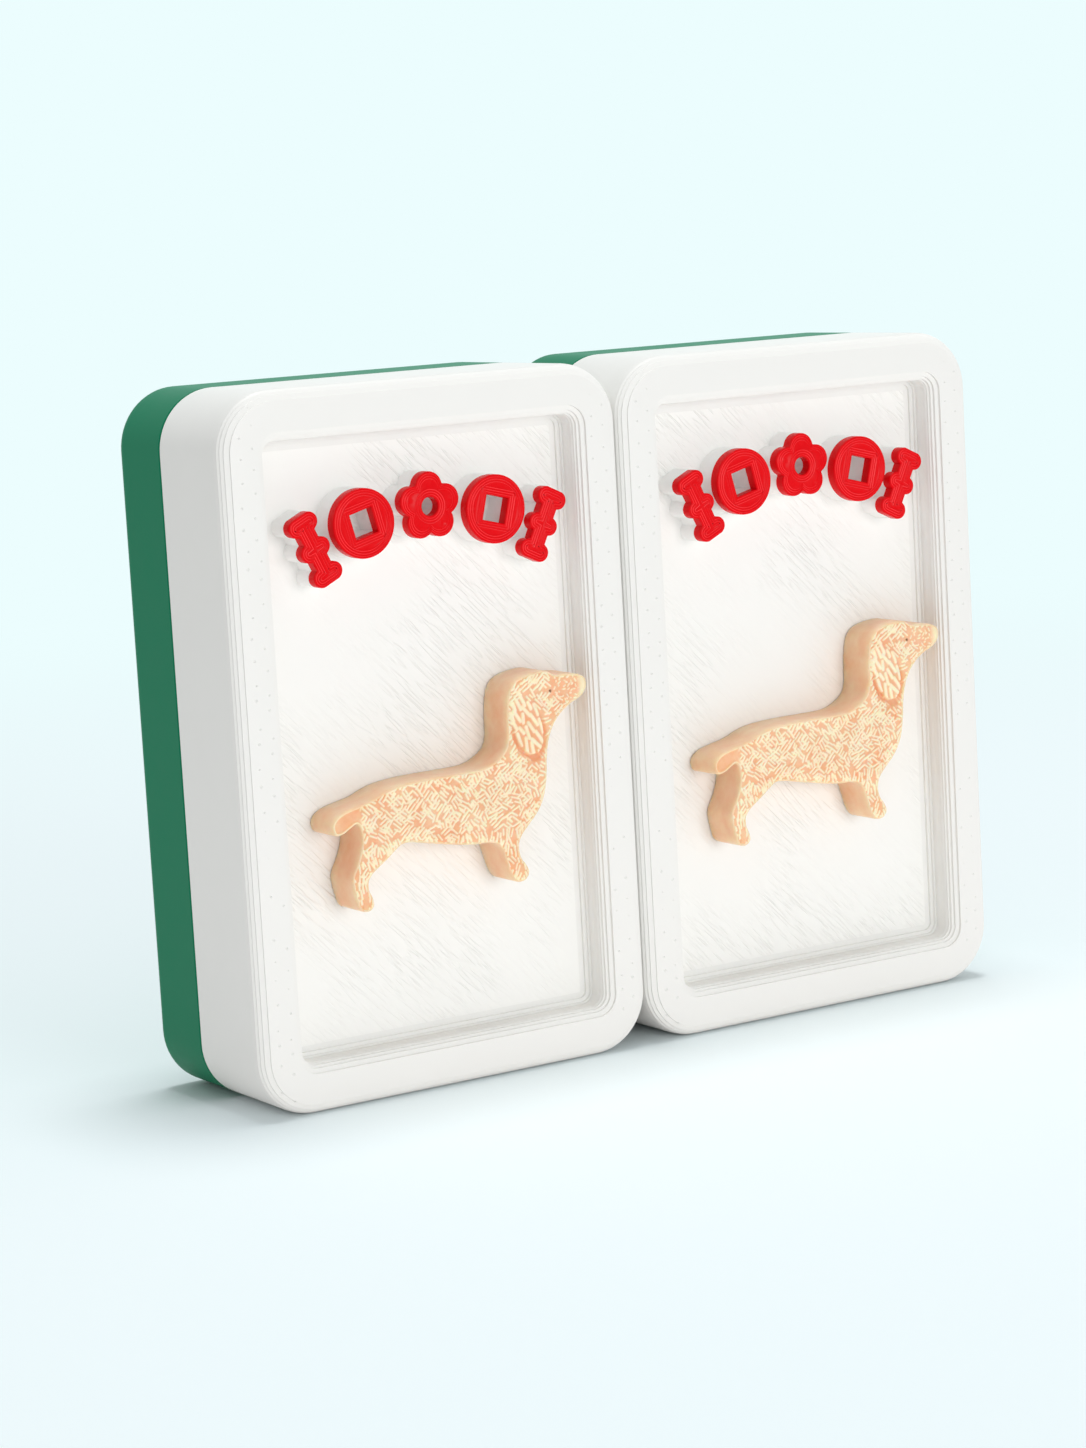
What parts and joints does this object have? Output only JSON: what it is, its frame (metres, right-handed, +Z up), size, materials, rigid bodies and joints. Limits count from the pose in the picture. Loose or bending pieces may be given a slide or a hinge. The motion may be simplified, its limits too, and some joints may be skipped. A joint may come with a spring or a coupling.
{
  "type": "mahjong tile",
  "caption": "Pair of upright printed mahjong tiles with green backs, white recessed faces, red traditional marks and a gold dachshund in relief.",
  "frame": {"origin": "centre of the pair's box on the ground, on the line where the two tiles meet", "axes": "+X runs from the left tile to the right tile, -Y is the way the faces look and +Z is up"},
  "size_m": [0.054, 0.0136, 0.042],
  "materials": {
    "green_plastic": "satin green printed plastic",
    "white_plastic": "satin warm white printed plastic with fine print lines",
    "red_plastic": "glossy red printed plastic",
    "gold_plastic": "silky pale gold printed plastic"
  },
  "bodies": {
    "root": {"left_back": "green_plastic", "left_body": "white_plastic", "left_bamboo_outer": "red_plastic", "left_coin_outer": "red_plastic", "left_blossom": "red_plastic", "left_coin_inner": "red_plastic", "left_bamboo_inner": "red_plastic", "left_dog": "gold_plastic", "right_back": "green_plastic", "right_body": "white_plastic", "right_bamboo_inner": "red_plastic", "right_coin_inner": "red_plastic", "right_blossom": "red_plastic", "right_coin_outer": "red_plastic", "right_bamboo_outer": "red_plastic", "right_dog": "gold_plastic"}
  },
  "joints": []
}
